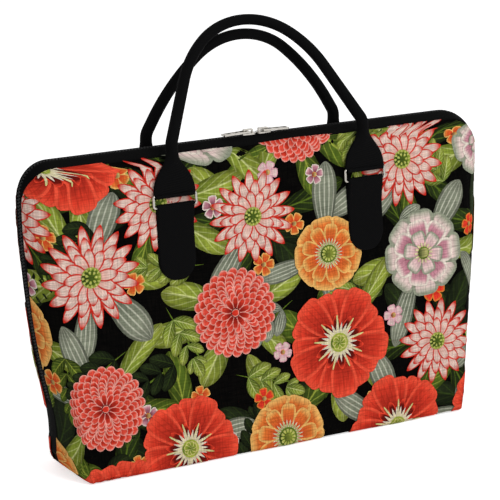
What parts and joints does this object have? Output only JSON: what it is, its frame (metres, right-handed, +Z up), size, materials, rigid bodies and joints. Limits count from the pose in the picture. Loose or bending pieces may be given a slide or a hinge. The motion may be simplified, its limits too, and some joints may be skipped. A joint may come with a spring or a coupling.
{
  "type": "laptop bag",
  "caption": "Slim zipped laptop bag in floral printed cloth with black zip gusset, rolled carrying handles on wire rings and round-ended tabs.",
  "frame": {"origin": "middle of the base, on the surface the bag stands on", "axes": "+X along the width, +Y from the front panel to the back panel, +Z up"},
  "size_m": [0.401, 0.072, 0.3432],
  "materials": {
    "printed_cloth": "padded linen-look cloth, floral print on black",
    "black_cloth": "matte woven black",
    "black_strap": "matte black, doubled and rolled",
    "zip_teeth": "black moulded",
    "bright_metal": "nickel plated"
  },
  "bodies": {
    "bag": {"cloth_body": "printed_cloth", "gusset_front": "black_cloth", "gusset_back": "black_cloth", "side_gusset_left": "black_cloth", "side_gusset_right": "black_cloth", "zip_teeth_front": "zip_teeth", "zip_teeth_back": "zip_teeth", "tab_front_left": "black_strap", "tab_front_right": "black_strap", "tab_back_left": "black_strap", "tab_back_right": "black_strap"},
    "left_slider": {"slider_left": "bright_metal"},
    "left_pull": {"pull_left": "bright_metal"},
    "right_slider": {"slider_right": "bright_metal"},
    "right_pull": {"pull_right": "bright_metal"},
    "front_rings": {"ring_front_left": "bright_metal", "ring_front_right": "bright_metal"},
    "front_handle": {"handle_front": "black_strap"},
    "back_rings": {"ring_back_left": "bright_metal", "ring_back_right": "bright_metal"},
    "back_handle": {"handle_back": "black_strap"}
  },
  "joints": [
    {"name": "left_slider_run", "type": "slide", "parent": "bag", "child": "left_slider", "axis": [-1, 0, 0], "range_m": [0, 0.158]},
    {"name": "left_pull_lift", "type": "hinge", "parent": "left_slider", "child": "left_pull", "pos_m": [-0.0066, 0, 0.2528], "axis": [0, 1, 0], "range_deg": [0, 100]},
    {"name": "right_slider_run", "type": "slide", "parent": "bag", "child": "right_slider", "axis": [1, 0, 0], "range_m": [0, 0.158]},
    {"name": "right_pull_lift", "type": "hinge", "parent": "right_slider", "child": "right_pull", "pos_m": [0.0066, 0, 0.2528], "axis": [0, -1, 0], "range_deg": [0, 100]},
    {"name": "front_rings_swing", "type": "hinge", "parent": "bag", "child": "front_rings", "pos_m": [0, -0.02631, 0.2078], "axis": [1, 0, 0], "range_deg": [0, 90]},
    {"name": "front_handle_swing", "type": "hinge", "parent": "front_rings", "child": "front_handle", "pos_m": [0, -0.02573, 0.21679], "axis": [1, 0, 0], "range_deg": [0, 90]},
    {"name": "back_rings_swing", "type": "hinge", "parent": "bag", "child": "back_rings", "pos_m": [0, 0.02631, 0.2078], "axis": [-1, 0, 0], "range_deg": [0, 90]},
    {"name": "back_handle_swing", "type": "hinge", "parent": "back_rings", "child": "back_handle", "pos_m": [0, 0.02573, 0.21679], "axis": [-1, 0, 0], "range_deg": [0, 90]}
  ]
}
